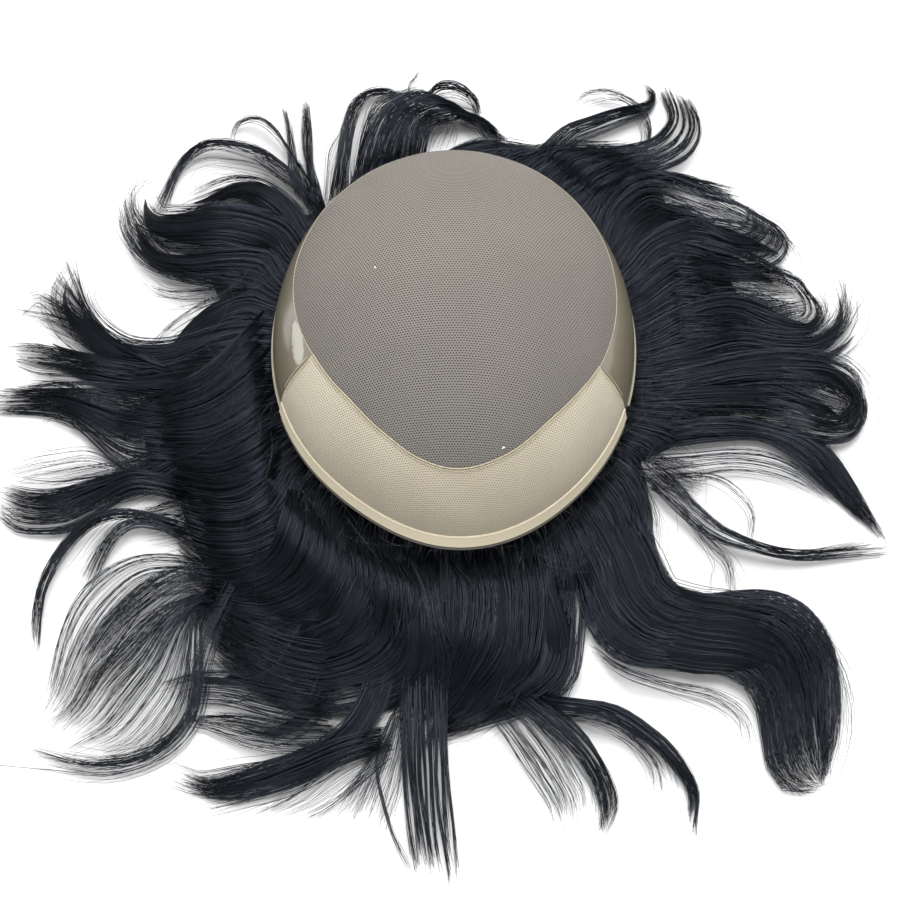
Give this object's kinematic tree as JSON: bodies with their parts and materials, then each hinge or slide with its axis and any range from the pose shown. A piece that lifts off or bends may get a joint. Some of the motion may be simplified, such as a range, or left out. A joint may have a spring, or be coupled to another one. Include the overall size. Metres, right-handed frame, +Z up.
{
  "type": "hairpiece",
  "caption": "Toupee with an open net crown, skin sides and back and a lace front, lying inside out with its short wavy hair fanned out flat round the rim.",
  "frame": {"origin": "on the table under the middle of the whole hairpiece, hair included", "axes": "+Z up out of the scalp side of the cap, which stands dome up on its hair; the front of the cap with its lace faces -Y; +X to the right in the picture"},
  "size_m": [0.3694, 0.3594, 0.082],
  "materials": {
    "net": "fine open monofilament net, matte",
    "skin": "thin polyurethane film over dark hair knots, glossy",
    "lace": "beige woven lace, matte",
    "stitching": "beige sewn ribbon and thread, matte",
    "hair": "black straight to wavy hair, silky"
  },
  "bodies": {
    "root": {"crown_net": "net", "skin_band": "skin", "front_lace": "lace", "lace_hem": "lace", "lace_edge": "lace", "crown_seam": "stitching", "left_join_seam": "stitching", "right_join_seam": "stitching", "skin_edge": "skin", "crown_hair": "hair", "hair_locks": "hair"}
  },
  "joints": []
}
